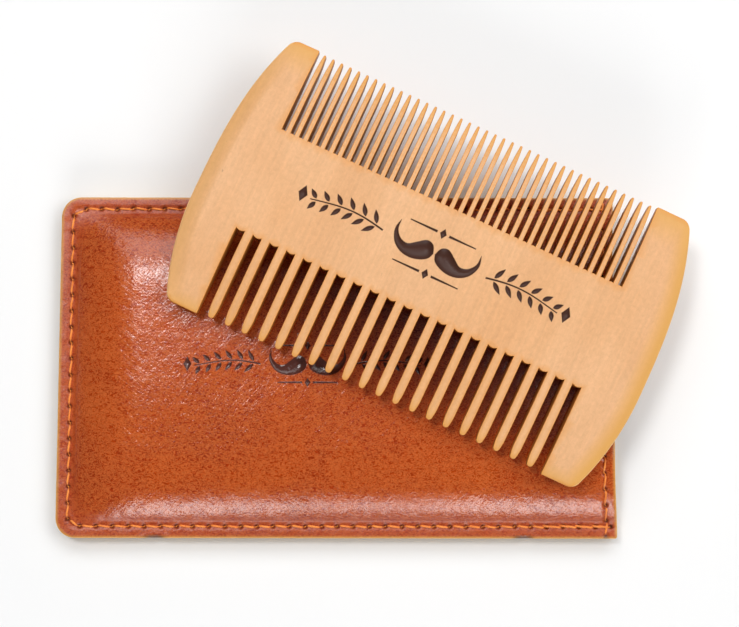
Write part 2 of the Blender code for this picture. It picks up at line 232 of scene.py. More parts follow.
def plate(
    name, outline, top, bottom, rounding, top_points, bottom_points,
    shapes=(), depth=0.0, wall=ENGRAVING_WALL,
):
    """A closed sheet over an outline, with rounded edges and shapes pressed into its top.

    top(points) and bottom(points) give heights. rounding is the edges' radius at each outline point.
    The shapes are pressed in by depth, and their walls slope over wall.
    """
    inward = smoothed_normals(outline)
    count = len(outline)
    rings = [outline + inward * (rounding * (1 - math.cos(a)))[:, None] for a in EDGE_ANGLES]
    drops = [rounding * (1 - math.sin(a)) for a in EDGE_ANGLES]

    verts = []
    faces = []
    burn_and_shade = []
    rim = []

    def add_side(height, sign, points, loops, sunk):
        start = len(verts)
        for step, (ring, drop) in enumerate(zip(rings[:-1], drops[:-1])):
            level = height(ring) - sign * drop
            verts.extend(np.column_stack([ring, level]).tolist())
            burn_and_shade.extend([0.0] * count)
            rim.extend([1.0 - step * EDGE_MARK_STEP] * count)
        flat, triangles, place = triangulate([rings[-1], *loops], points)
        level = height(flat)
        tone = np.zeros(len(flat))
        edge = np.zeros(len(flat))
        edge[[place[i] for i in range(count)]] = INNER_EDGE_MARK
        cursor = count
        for index, loop in enumerate(loops):
            kind = index % 3
            members = [place[cursor + i] for i in range(len(loop))]
            if kind == 1:
                tone[members] = WALL_TOP_MARK
            if kind == 2:
                tone[members] = 1.0
                level[members] -= sunk
            cursor += len(loop)
        base = len(verts)
        verts.extend(np.column_stack([flat, level]).tolist())
        burn_and_shade.extend(tone.tolist())
        rim.extend(edge.tolist())
        inner = [base + place[i] for i in range(count)]
        circuits = [[start + k * count + i for i in range(count)] for k in range(3)] + [inner]
        made = [face for outer, nearer in zip(circuits, circuits[1:]) for face in band(outer, nearer)]
        made += [tuple(base + v for v in triangle) for triangle in triangles]
        faces.extend(face[::sign] for face in made)
        return circuits[0]

    loops = [loop for shape in shapes for loop in engraving_loops(shape, wall)]
    for surround in loops[0::3]:
        candidates = np.nonzero(near_box(surround, top_points))[0]
        hit = candidates[inside(surround, top_points[candidates])]
        top_points = np.delete(top_points, hit, axis=0)
    upper = add_side(top, 1, top_points, loops, depth)
    lower = add_side(bottom, -1, bottom_points, [], 0.0)
    faces += band(lower, upper)

    item = new_piece(name, verts, faces)
    set_mark(item.data, "burn_and_shade", burn_and_shade)
    set_mark(item.data, "rim", rim)
    mesh = bmesh.new()
    mesh.from_mesh(item.data)
    loose = [v for v in mesh.verts if not v.link_faces]
    bmesh.ops.delete(mesh, geom=loose, context="VERTS")
    mesh.to_mesh(item.data)
    mesh.free()
    return item


def grid(x_low, x_high, y_low, y_high, step):
    """A staggered grid of points with that spacing."""
    columns = max(int(round((x_high - x_low) / step)), 1)
    rows = max(int(round((y_high - y_low) / step)), 1)
    x = np.linspace(x_low, x_high, columns + 1)
    y = np.linspace(y_low, y_high, rows + 1)
    gx, gy = np.meshgrid(x, y, indexing="ij")
    gy = gy + (np.arange(columns + 1) % 2)[:, None] * step * 0.5
    return np.column_stack([gx.ravel(), gy.ravel()])


def well_inside(outline, points, margin):
    """The points that keep a distance from the outline."""
    inward = smoothed_normals(outline)
    return points[inside(outline + inward * margin, points)]


def arc(centre, radius, start, end, steps):
    """Points on an arc, angles in degrees."""
    angles = np.radians(np.linspace(start, end, steps))
    return np.column_stack([centre[0] + radius * np.cos(angles), centre[1] + radius * np.sin(angles)])


# Comb shape

def end_narrowing(y):
    """How far the comb's curved end has drawn in at y."""
    fine = np.maximum(y - WIDEST_LINE_Y, 0.0) / (COMB_WIDTH / 2 - WIDEST_LINE_Y)
    coarse = np.maximum(WIDEST_LINE_Y - y, 0.0) / (COMB_WIDTH / 2 + WIDEST_LINE_Y)
    return FINE_END_NARROWING * fine ** FINE_END_POWER + COARSE_END_NARROWING * coarse ** COARSE_END_POWER


def comb_half_height(points):
    """Half the comb's thickness at its points: full on the spine, thin at the tips and the ends."""
    x, y = points[:, 0], points[:, 1]
    fine_root = COMB_WIDTH / 2 - FINE_ROW["length"]
    coarse_root = COARSE_ROW["length"] - COMB_WIDTH / 2
    reach = np.maximum(y - fine_root, 0.0) / FINE_ROW["length"]
    reach += np.maximum(coarse_root - y, 0.0) / COARSE_ROW["length"]
    fullness = 1 - np.clip(reach, 0.0, 1.0) ** FACE_TAPER_POWER
    rim_distance = COMB_LENGTH / 2 - end_narrowing(y) - np.abs(x)
    inward = np.clip(rim_distance / END_BEVEL_WIDTH, 0.0, 1.0)
    rim_share = (END_RIM_THICKNESS - TIP_THICKNESS) / (COMB_THICKNESS - TIP_THICKNESS)
    end_share = rim_share + (1 - rim_share) * (1 - (1 - inward) ** END_BEVEL_POWER)
    return (TIP_THICKNESS + (COMB_THICKNESS - TIP_THICKNESS) * fullness * end_share) / 2


def tooth_side(row):
    """Half-widths and heights up one side of a tooth, from its root to its round tip."""
    tip_y = COMB_WIDTH / 2 - TOOTH_SETBACK
    root_y = COMB_WIDTH / 2 - row["length"]
    root_width = row["pitch"] - row["gap"]
    tip_radius = row["tip"] / 2
    cheek_y = tip_y - tip_radius
    taper_start = tip_y - row["taper"]
    points = [(root_width / 2, y) for y in np.linspace(root_y, taper_start, 13)[1:-1]]
    for share in np.linspace(0.0, 0.92, 7):
        half_width = root_width / 2 - (root_width - row["tip"]) / 2 * share ** 1.5
        points.append((half_width, taper_start + (cheek_y - taper_start) * share))
    for angle in np.radians((0.0, 25.0, 50.0, 72.0)):
        points.append((tip_radius * math.cos(angle), cheek_y + tip_radius * math.sin(angle)))
    return points


def row_outline(row):
    """One row's outline from left to right, for teeth that point to +Y, end pieces' corners included."""
    tip_y = COMB_WIDTH / 2 - TOOTH_SETBACK
    root_y = COMB_WIDTH / 2 - row["length"]
    half_gap = row["gap"] / 2
    first_slot = row["shift"] - row["teeth"] * row["pitch"] / 2
    last_slot = first_slot + row["teeth"] * row["pitch"]
    corner = 0.35 * MM
    side = tooth_side(row)
    wall = np.linspace(COMB_WIDTH / 2 - corner, root_y, 18)[1:-1]
    left, right = first_slot - half_gap, last_slot + half_gap
    points = arc((left - corner, COMB_WIDTH / 2 - corner), corner, 90, 0, 5).tolist()
    points += [(left, y) for y in wall]
    for slot in range(row["teeth"] + 1):
        middle = first_slot + slot * row["pitch"]
        for share in np.linspace(-1.0, 1.0, 7):
            points.append((middle + half_gap * share, root_y + row["root_rise"] * (1 - share ** 2)))
        if slot < row["teeth"]:
            tooth = middle + row["pitch"] / 2
            points += [(tooth - half_width, y) for half_width, y in side]
            points.append((tooth, tip_y))
            points += [(tooth + half_width, y) for half_width, y in reversed(side)]
    points += [(right, y) for y in reversed(wall)]
    points += arc((right + corner, COMB_WIDTH / 2 - corner), corner, 180, 90, 5).tolist()
    return points


def end_outline(hand):
    """The curved end on one side, from the coarse side up to the fine side."""
    straight = COMB_WIDTH / 2 - COMB_CORNER_RADIUS
    angles = np.radians(np.linspace(90.0, 0.0, 9))
    past_straight = COMB_CORNER_RADIUS * np.sin(angles)
    corner = COMB_CORNER_RADIUS * (1 - np.cos(angles))
    middle = np.linspace(-straight, straight, 84)[1:-1]
    ys = np.concatenate([-straight - past_straight, middle, straight + past_straight[::-1]])
    drawn_in = np.concatenate([corner, np.zeros(len(middle)), corner[::-1]])
    xs = hand * (COMB_LENGTH / 2 - end_narrowing(ys) - drawn_in)
    return np.column_stack([xs, ys]).tolist()


def comb_outline():
    """The comb's outline, counter-clockwise, and the edge rounding at each of its points."""
    right = end_outline(1)
    fine = list(reversed(row_outline(FINE_ROW)))
    left = list(reversed(end_outline(-1)))
    coarse = [(x, -y) for x, y in row_outline(COARSE_ROW)]
    outline = right + fine + left + coarse
    rounding = [0.4 * MM] * len(right) + [0.12 * MM] * len(fine)
    rounding += [0.4 * MM] * len(left) + [0.16 * MM] * len(coarse)
    return np.array(outline), np.array(rounding)


def comb_points(outline):
    """Points inside the comb's outline: rows along its bevelled ends, the teeth and the spine."""
    ys = np.arange(-COMB_WIDTH / 2 + 0.8 * MM, COMB_WIDTH / 2 - 0.6 * MM, 0.8 * MM)
    points = []
    for hand in (-1, 1):
        for distance in np.array([0.75, 1.3, 1.9, 2.5, 3.1, 3.6, 3.95, 4.5, 5.5, 7.0, 9.0, 11.0]) * MM:
            xs = hand * (COMB_LENGTH / 2 - end_narrowing(ys) - distance)
            points += np.column_stack([xs, ys]).tolist()
    for row, hand in ((FINE_ROW, 1), (COARSE_ROW, -1)):
        root_y = COMB_WIDTH / 2 - row["length"]
        for tooth in range(row["teeth"]):
            x = row["shift"] + (tooth + 0.5 - row["teeth"] / 2) * row["pitch"]
            for y in np.arange(root_y, COMB_WIDTH / 2 - 1.0 * MM, 1.1 * MM):
                points.append((x, hand * y))
    half_spine = COMB_LENGTH / 2 - 13 * MM
    spine = grid(-half_spine, half_spine, -10.3 * MM, 11.0 * MM, 1.6 * MM)
    points = np.array(points + spine.tolist())
    return well_inside(outline, points, 0.5 * MM)


# Ornament: a curled moustache between two leafy sprigs

def curve_through(points, steps):
    """A smooth open curve through a few points."""
    held = np.vstack([2 * points[0] - points[1], points, 2 * points[-1] - points[-2]])
    curve = []
    for before, start, end, after in zip(held, held[1:], held[2:], held[3:]):
        for share in np.linspace(0.0, 1.0, steps + 1)[:-1]:
            bend = 2 * before - 5 * start + 4 * end - after
            twist = 3 * start - before - 3 * end + after
            curve.append(start + 0.5 * share * (end - before + share * (bend + share * twist)))
    return np.array(curve + [points[-1]])


def leaf(base, angle, length, width):
    """A pointed leaf that grows from base at an angle."""
    shares = np.linspace(0.0, 1.0, 9)
    swell = np.sin(np.pi * shares ** 0.8) * width / 2
    lower = np.column_stack([shares * length, -swell])
    upper = np.column_stack([shares * length, swell])[-2:0:-1]
    turn = np.array([[math.cos(angle), math.sin(angle)], [-math.sin(angle), math.cos(angle)]])
    return np.vstack([lower, upper]) @ turn + np.array(base)


def ribbon(centre, widths):
    """A closed shape round a centreline with a width at each of its points."""
    along = np.gradient(centre, axis=0)
    along /= np.linalg.norm(along, axis=1)[:, None]
    across = np.column_stack([-along[:, 1], along[:, 0]])
    half = widths[:, None] / 2
    return np.vstack([centre - across * half, (centre + across * half)[::-1]])


def moustache_side(hand, reach):
    """Half of a curled moustache, from the gap in its middle out to its raised end."""
    upper = [(0.02, 0.0), (0.10, 0.17), (0.26, 0.21), (0.44, 0.09), (0.62, -0.03), (0.80, 0.01)]
    upper += [(0.93, 0.17), (0.95, 0.40)]
    lower = [(1.0, 0.15), (0.90, -0.10), (0.70, -0.25), (0.46, -0.29), (0.24, -0.24), (0.08, -0.14)]
    top = curve_through(np.array(upper), 4)
    bottom = curve_through(np.array(upper[-1:] + lower + upper[:1]), 4)
    return np.vstack([top, bottom[1:-1]]) * np.array([hand * reach, reach])


def sprig_line(share, hand, start_x, length, size):
    """A point on a sprig's stem."""
    return hand * (start_x + length * share), size * 0.45 * np.sin(np.pi * share * 1.15)


def sprig(hand, start_x, length, size):
    """A stem with paired leaves that runs outwards from start_x."""
    share = np.linspace(0.0, 1.0, 26)
    stem = np.column_stack(sprig_line(share, hand, start_x, length, size))
    shapes = [ribbon(stem, size * (0.17 - 0.07 * share))]
    leaf_pairs = 6
    for along in np.linspace(0.09, 0.91, leaf_pairs):
        root_x, root_y = sprig_line(along, hand, start_x, length, size)
        slope = math.atan(size * 0.45 * math.pi * 1.15 * math.cos(math.pi * along * 1.15) / length)
        for side in (1, -1):
            angle = slope + side * math.radians(52)
            if hand < 0:
                angle = math.pi - angle
            gap = size * 0.24
            base = (root_x + gap * math.cos(angle), root_y + gap * math.sin(angle))
            shapes.append(leaf(base, angle, size * (1.55 - 0.45 * along), size * 0.5))
    return shapes


def lozenge(centre, half_width, half_height):
    """A diamond, with points along its sides."""
    corners = np.array([(half_width, 0.0), (0.0, half_height), (-half_width, 0.0), (0.0, -half_height)])
    sides = zip(corners, np.roll(corners, -1, axis=0))
    points = [start + (end - start) * share for start, end in sides for share in (0.0, 0.34, 0.67)]
    return np.array(points) + np.array(centre)


def ornament(span, height):
    """Every shape of the ornament, centred on the origin and within span by height."""
    size = height / 5.4
    shapes = []
    for hand in (1, -1):
        shapes.append(moustache_side(hand, span * 0.155))
        shapes += sprig(hand, span * 0.19, span * 0.265, size)
        shapes.append(lozenge((hand * span * 0.485, 0.0), size * 0.5, size * 0.9))
    for level in (height * 0.43, -height * 0.43):
        shapes.append(lozenge((0.0, level), size * 0.36, size * 0.55))
        for hand in (1, -1):
            xs = hand * span * np.linspace(0.022, 0.12, 12)
            line = np.column_stack([xs, np.full(12, level)])
            shapes.append(ribbon(line, np.linspace(0.24, 0.1, 12) * size))
    return shapes


# Sleeve shape

def ease(distance, run, power):
    """0 at the foot of a slope, rising steeply at first and levelling out at 1 after the run."""
    along = np.clip(distance / run, 0.0, 1.0)
    return 1 - (1 - along) ** power


def dome(x, y):
    """How far the front has risen: 0 on the hem of the three closed sides, 1 on the plateau."""
    from_side = SLEEVE_WIDTH / 2 - HEM_WIDTH - np.abs(y)
    from_end = x + SLEEVE_LENGTH / 2 - HEM_WIDTH
    return ease(from_side, DOME_RUN, DOME_POWER) * ease(from_end, DOME_RUN, DOME_POWER)


def front_rise(x, y):
    """How far the front stands above its hem: the dome, with a sag towards its closed end and sides."""
    share = dome(x, y)
    sag = CLOSED_END_SAG * (np.minimum(x, 0.0) / (50 * MM)) ** 2 * share
    sag += SIDE_SAG * (y / (20 * MM)) ** 2 * share ** 2
    return DOME_RISE * share - sag


def back_rise(x, y):
    """Height of the back panel's underside: on the table, and raised under the hem for the thread."""
    from_side = SLEEVE_WIDTH / 2 - HEM_WIDTH - np.abs(y)
    from_end = x + SLEEVE_LENGTH / 2 - HEM_WIDTH
    return HEM_UNDERSIDE * (1 - ease(np.minimum(from_side, from_end), FOOT_RUN, DOME_POWER))


def waves(points, count, shortest, longest, seed):
    """A smooth random field of about unit height, made of sines of mixed directions and lengths."""
    chance = random.Random(seed)
    total = np.zeros(len(points))
    for _ in range(count):
        length = shortest * (longest / shortest) ** chance.random()
        angle = chance.uniform(0.0, math.tau)
        phase = chance.uniform(0.0, math.tau)
        run = points[:, 0] * math.cos(angle) + points[:, 1] * math.sin(angle)
        total += np.sin(math.tau * run / length + phase) * (length / longest) ** 0.5
    return total / math.sqrt(count)


SEAM_STRAIGHT = SEAM_END_X - SEAM_X - SEAM_CORNER
SEAM_BEND = SEAM_CORNER * math.pi / 2
SEAM_TOTAL = 2 * (SEAM_STRAIGHT + SEAM_BEND + SEAM_Y - SEAM_CORNER)


def seam_point(run):
    """The place at a distance along the seam, from the mouth along -Y's side, round and back."""
    if run > SEAM_TOTAL / 2:
        x, y = seam_point(SEAM_TOTAL - run)
        return x, -y
    if run <= SEAM_STRAIGHT:
        return SEAM_END_X - run, -SEAM_Y
    run -= SEAM_STRAIGHT
    if run <= SEAM_BEND:
        turn = run / SEAM_CORNER
        return SEAM_X + SEAM_CORNER * (1 - math.sin(turn)), -SEAM_Y + SEAM_CORNER * (1 - math.cos(turn))
    return SEAM_X, -SEAM_Y + SEAM_CORNER + run - SEAM_BEND


def seam_distance(points):
    """Distance from each point to the seam's line."""
    x, y = points[:, 0], np.abs(points[:, 1])
    centre_x, centre_y = SEAM_X + SEAM_CORNER, SEAM_Y - SEAM_CORNER
    from_corner = np.abs(np.hypot(x - centre_x, y - centre_y) - SEAM_CORNER)
    side = np.abs(y - SEAM_Y)
    end = np.abs(x - SEAM_X)
    far = 1.0
    straight = np.minimum(np.where(x > centre_x, side, far), np.where(y < centre_y, end, far))
    distance = np.where((x < centre_x) & (y > centre_y), from_corner, straight)
    return np.hypot(distance, np.maximum(x - SEAM_END_X, 0.0))


def hole_places():
    """Needle holes of the seam and of the front's mouth, each a little off its line."""
    seam = []
    stitches = round(SEAM_TOTAL / STITCH)
    for index in range(stitches + 1):
        x, y = seam_point(SEAM_TOTAL * index / stitches)
        seam.append((x + dice.gauss(0.0, STITCH_SCATTER), y + dice.gauss(0.0, STITCH_SCATTER)))
    mouth = []
    half = SLEEVE_WIDTH / 2 - 0.5 * MM
    stitches = round(2 * half / (STITCH * 0.98))
    for index in range(stitches + 1):
        y = -half + 2 * half * index / stitches
        mouth.append((MOUTH_STITCH_X + dice.gauss(0.0, STITCH_SCATTER), y))
    return np.array(seam), np.array(mouth)


SEAM_HOLES, MOUTH_HOLES = hole_places()


def near_holes(points, holes, radius):
    """A sum of soft dots at the holes."""
    total = np.zeros(len(points))
    for hole in holes:
        close = np.nonzero(np.max(np.abs(points - hole), axis=1) < 3.5 * radius)[0]
        total[close] += np.exp(-np.sum((points[close] - hole) ** 2, axis=1) / radius ** 2)
    return total


def from_nick(points, nick, height):
    """Distance from a nick in the hem's edge, measured in units that are longer along the edge."""
    above = points[:, 1] + SLEEVE_WIDTH / 2 - 0.3 * MM
    return np.hypot((points[:, 0] - nick) / NICK_STRETCH, above / height)


def front_detail(points):
    """What wear, moulding and stitching add to the front panel's upper face."""
    x, y = points[:, 0], points[:, 1]
    off_seam = seam_distance(points)
    off_mouth = np.abs(x - MOUTH_STITCH_X)
    detail = -0.2 * MM * np.exp(-((off_seam / (0.5 * MM)) ** 2))
    detail -= 0.16 * MM * np.exp(-((off_mouth / (0.45 * MM)) ** 2))
    both = np.vstack([SEAM_HOLES, MOUTH_HOLES])
    detail += 0.10 * MM * near_holes(points, both, 0.95 * MM)
    detail -= HOLE_DEPTH * near_holes(points, both, HOLE_RADIUS)
    detail += 0.035 * MM * waves(points, 16, 2.0 * MM, 6.0 * MM, 5) * (1 - dome(x, y))
    detail += 0.07 * MM * (waves(points, 12, 11 * MM, 40 * MM, 9) - 1.4) * dome(x, y)
    detail += 0.018 * MM * waves(points, 26, 1.6 * MM, 5.0 * MM, 21)
    for nick in NICKS:
        distance = from_nick(points, nick, 0.55) / MM
        detail += 0.18 * MM * np.exp(-((distance - 1.0) / 0.35) ** 2)
        detail -= 0.35 * MM * np.exp(-(distance / 0.8) ** 2)
    return detail


def front_top(points):
    """Height of the front panel's upper face."""
    return front_under(points) + LEATHER_THICKNESS + front_detail(points)


def front_under(points):
    """Height of the front panel's lower face."""
    return FRONT_PANEL_UNDER + front_rise(points[:, 0], points[:, 1])


def back_under(points):
    """Height of the back panel's underside, with its needle holes."""
    groove = np.exp(-((points[:, 0] - MOUTH_STITCH_X) / (0.5 * MM)) ** 2) * THREAD_HEIGHT
    pits = 0.35 * MM * near_holes(points, SEAM_HOLES, 0.3 * MM)
    return np.maximum(back_rise(points[:, 0], points[:, 1]), groove) + pits


def back_top(points):
    """The height of the back panel's upper face."""
    return back_rise(points[:, 0], points[:, 1]) + LEATHER_THICKNESS


def sleeve_outline(mouth_inset=0.0, nicked=False):
    """The sleeve's outline, counter-clockwise, with its two closed corners rounded."""
    half_length = SLEEVE_LENGTH / 2
    half_width = SLEEVE_WIDTH / 2
    mouth_x = SLEEVE_LENGTH / 2 - mouth_inset
    radius = SLEEVE_CORNER_RADIUS
    step = 0.55 * MM
    corner = 0.5 * MM
    bottom_x = np.arange(-half_length + radius, mouth_x - corner, step)[1:]
    bottom = np.column_stack([bottom_x, np.full(len(bottom_x), -half_width)])
    if nicked:
        for nick in NICKS:
            bottom[:, 1] += 0.08 * MM * np.exp(-((bottom_x - nick) / (1.9 * MM)) ** 4)
    right_y = np.arange(-half_width + corner, half_width - corner, step)[1:]
    right = np.column_stack([np.full(len(right_y), mouth_x), right_y])
    top = np.column_stack([bottom_x[::-1], np.full(len(bottom_x), half_width)])
    left_y = np.arange(half_width - radius, -half_width + radius, -step)[1:]
    left = np.column_stack([np.full(len(left_y), -half_length), left_y])
    return np.vstack([
        bottom,
        arc((mouth_x - corner, -half_width + corner), corner, -90, 0, 5),
        right,
        arc((mouth_x - corner, half_width - corner), corner, 0, 90, 5),
        top,
        arc((-half_length + radius, half_width - radius), radius, 90, 180, 16),
        left,
        arc((-half_length + radius, -half_width + radius), radius, 180, 270, 16),
    ])


def sleeve_points(outline, step, margin):
    """A grid of points over the sleeve that keeps a distance from its outline."""
    points = grid(-SLEEVE_LENGTH / 2, SLEEVE_LENGTH / 2, -SLEEVE_WIDTH / 2, SLEEVE_WIDTH / 2, step)
    return well_inside(outline, points, margin)


def settled(points, share_drawn):
    """The sleeve's points as its leather lies: slightly off square, and drawn in at its mouth."""
    x, y = points[:, 0], points[:, 1]
    along = np.clip(x / SLEEVE_LENGTH + 0.5, 0.0, 1.0)
    across = y / (SLEEVE_WIDTH / 2)
    skew = (1 - along) * (0.34 * across - 0.06) * MM + along * (0.06 - 0.24 * across) * MM
    side = ease(SLEEVE_WIDTH / 2 - HEM_WIDTH - np.abs(y), DOME_RUN, DOME_POWER)
    near_mouth = np.clip((x - 10 * MM) / (SLEEVE_LENGTH / 2 - 10 * MM), 0.0, 1.1) ** 2
    moved = points.copy()
    moved[:, 0] += skew - share_drawn * MOUTH_DRAWN_IN * side * near_mouth
    return moved


def settle(item, share_drawn):
    """Move a piece's mesh to where the leather lies."""
    data = item.data
    points = np.empty(len(data.vertices) * 3, np.float32)
    data.vertices.foreach_get("co", points)
    moved = settled(points.reshape(-1, 3).astype(float), share_drawn)
    data.vertices.foreach_set("co", moved.astype(np.float32).ravel())
    data.update()


def hole_points(holes):
    """Rings of points round needle holes, so that their pits have a round shape."""
    rings = [holes]
    for radius, count in ((0.14 * MM, 6), (0.27 * MM, 8), (0.4 * MM, 10), (0.54 * MM, 12), (0.72 * MM, 14)):
        for step in range(count):
            angle = math.tau * (step + 0.5 * (count % 4)) / count
            rings.append(holes + radius * np.array([math.cos(angle), math.sin(angle)]))
    return np.vstack(rings)


def without_near(points, holes, radius):
    """The points that aren't within a radius of a hole."""
    keep = np.ones(len(points), bool)
    for hole in holes:
        keep &= np.sum((points - hole) ** 2, axis=1) > radius ** 2
    return points[keep]


# Threads

def thread_tube(name, path):
    """A three-ply twisted thread swept along a path."""
    path = np.array(path)
    steps = np.linalg.norm(np.diff(path, axis=0), axis=1)
    run = np.concatenate([[0.0], np.cumsum(steps)])
    stops = np.arange(0.0, run[-1], 0.14 * MM)
    centre = np.column_stack([np.interp(stops, run, path[:, axis]) for axis in range(3)])
    along = np.gradient(centre, axis=0)
    along /= np.linalg.norm(along, axis=1)[:, None]
    across = np.cross(along, np.array([0.0, 0.0, 1.0]))
    across /= np.maximum(np.linalg.norm(across, axis=1), 1e-9)[:, None]
    above = np.cross(across, along)
    verts = []
    for index, stop in enumerate(stops):
        for side in range(THREAD_SIDES):
            angle = math.tau * side / THREAD_SIDES
            ply = abs(math.cos(1.5 * (angle - math.tau * stop / THREAD_TWIST)))
            reach = THREAD_RADIUS * (0.72 + 0.3 * ply ** 0.7)
            offset = across[index] * math.cos(angle) + above[index] * math.sin(angle)
            verts.append((centre[index] + offset * reach).tolist())
    last = len(verts) - THREAD_SIDES
    faces = []
    for low in range(0, last, THREAD_SIDES):
        high = low + THREAD_SIDES
        for side in range(THREAD_SIDES):
            after = (side + 1) % THREAD_SIDES
            faces.append((low + side, high + side, high + after, low + after))
    faces += [tuple(range(THREAD_SIDES)), tuple(reversed(range(last, len(verts))))]
    return new_piece(name, verts, faces)


def stitched_path(holes, level, above, dip):
    """A thread's centreline over a row of holes: above a level between them and dipping into each.

    level(points) gives heights. above and dip are signed, so they also serve an underside.
    """
    path = []
    for start, end in zip(holes[:-1], holes[1:]):
        run = end - start
        normal = np.array([-run[1], run[0]]) / max(np.linalg.norm(run), 1e-9)
        bow = dice.gauss(0.0, 0.03 * MM)
        shares = np.linspace(0.0, 1.0, 25)[:-1]
        sway = STITCH_SLANT * (0.5 - shares) + bow * np.sin(np.pi * shares)
        flat = start + run * shares[:, None] + normal * sway[:, None]
        height = level(flat)
        edge = np.minimum(shares, 1 - shares) * np.linalg.norm(run)
        sunk = np.exp(-((edge / (0.7 * MM)) ** 2))
        path.append(np.column_stack([flat, height + above * (1 - sunk) + dip * sunk]))
    return np.vstack(path)


# Materials

def new_material(name):
    """An empty node material with its shader."""
    material = bpy.data.materials.new(name)
    material.use_nodes = True
    tree = material.node_tree
    return material, tree, tree.nodes["Principled BSDF"]


def node(tree, kind, **settings):
    """A node with its properties and its input values set by name."""
    made = tree.nodes.new(kind)
    for key, value in settings.items():
        if hasattr(made, key):
            setattr(made, key, value)
        else:
            made.inputs[key.replace("_", " ")].default_value = value
    return made


def stretched(tree, scale, turn=0.0):
    """Object coordinates turned about Z and then scaled on each axis."""
    coordinates = node(tree, "ShaderNodeTexCoord")
    turned = node(tree, "ShaderNodeMapping", Rotation=(0.0, 0.0, turn))
    mapping = node(tree, "ShaderNodeMapping", Scale=scale)
    tree.links.new(coordinates.outputs["Object"], turned.inputs["Vector"])
    tree.links.new(turned.outputs["Vector"], mapping.inputs["Vector"])
    return mapping.outputs["Vector"]


def noise_field(tree, scale, detail=4.0, roughness=0.55, distortion=0.0, turn=0.0):
    """A noise texture on stretched object coordinates. scale is in cells per metre on each axis."""
    made = node(
        tree, "ShaderNodeTexNoise", Scale=1.0, Detail=detail, Roughness=roughness, Distortion=distortion,
    )
    tree.links.new(stretched(tree, scale, turn), made.inputs["Vector"])
    return made.outputs["Fac"]


def ramp(tree, value, stops):
    """A colour ramp over a value. stops are (position, colour)."""
    made = node(tree, "ShaderNodeValToRGB")
    elements = made.color_ramp.elements
    while len(elements) < len(stops):
        elements.new(0.5)
    for element, (position, colour) in zip(elements, stops):
        element.position = position
        element.color = (*colour, 1.0)
    tree.links.new(value, made.inputs["Fac"])
    return made.outputs["Color"]


def grey(value):
    """A colour with no hue."""
    return (value, value, value)


def mixed(tree, share, first, second, blend="MIX"):
    """Two colours mixed by a share, which may be a number or a socket. Colours may be either too."""
    made = node(tree, "ShaderNodeMix", data_type="RGBA", blend_type=blend)
    for socket, value in ((made.inputs[0], share), (made.inputs[6], first), (made.inputs[7], second)):
        if isinstance(value, bpy.types.NodeSocket):
            tree.links.new(value, socket)
        elif isinstance(value, (int, float)):
            socket.default_value = value
        else:
            socket.default_value = (*value, 1.0)
    return made.outputs[2]


def combine(tree, operation, first, second):
    """A math node on two values, each a number or a socket."""
    made = node(tree, "ShaderNodeMath", operation=operation)
    for socket, value in zip(made.inputs, (first, second)):
        if isinstance(value, bpy.types.NodeSocket):
            tree.links.new(value, socket)
        else:
            socket.default_value = value
    return made.outputs[0]


def varied(tree, base, field, stops):
    """A colour multiplied by a ramp over a field."""
    return mixed(tree, 1.0, base, ramp(tree, field, stops), "MULTIPLY")


def off_middle(tree, field):
    """How far a noise field is from its middle value, which is 0 along thin winding lines."""
    return combine(tree, "ABSOLUTE", combine(tree, "SUBTRACT", field, 0.5), 0.0)


def attribute(tree, name):
    """A mark that the mesh carries."""
    return node(tree, "ShaderNodeAttribute", attribute_name=name).outputs["Fac"]


def bumped(tree, shader, layers):
    """Bump layers (height socket, distance in metres, strength) stacked on the shader's normal."""
    previous = None
    for height, distance, strength in layers:
        made = node(tree, "ShaderNodeBump", Distance=distance, Strength=strength)
        tree.links.new(height, made.inputs["Height"])
        if previous is not None:
            tree.links.new(previous, made.inputs["Normal"])
        previous = made.outputs["Normal"]
    tree.links.new(previous, shader.inputs["Normal"])


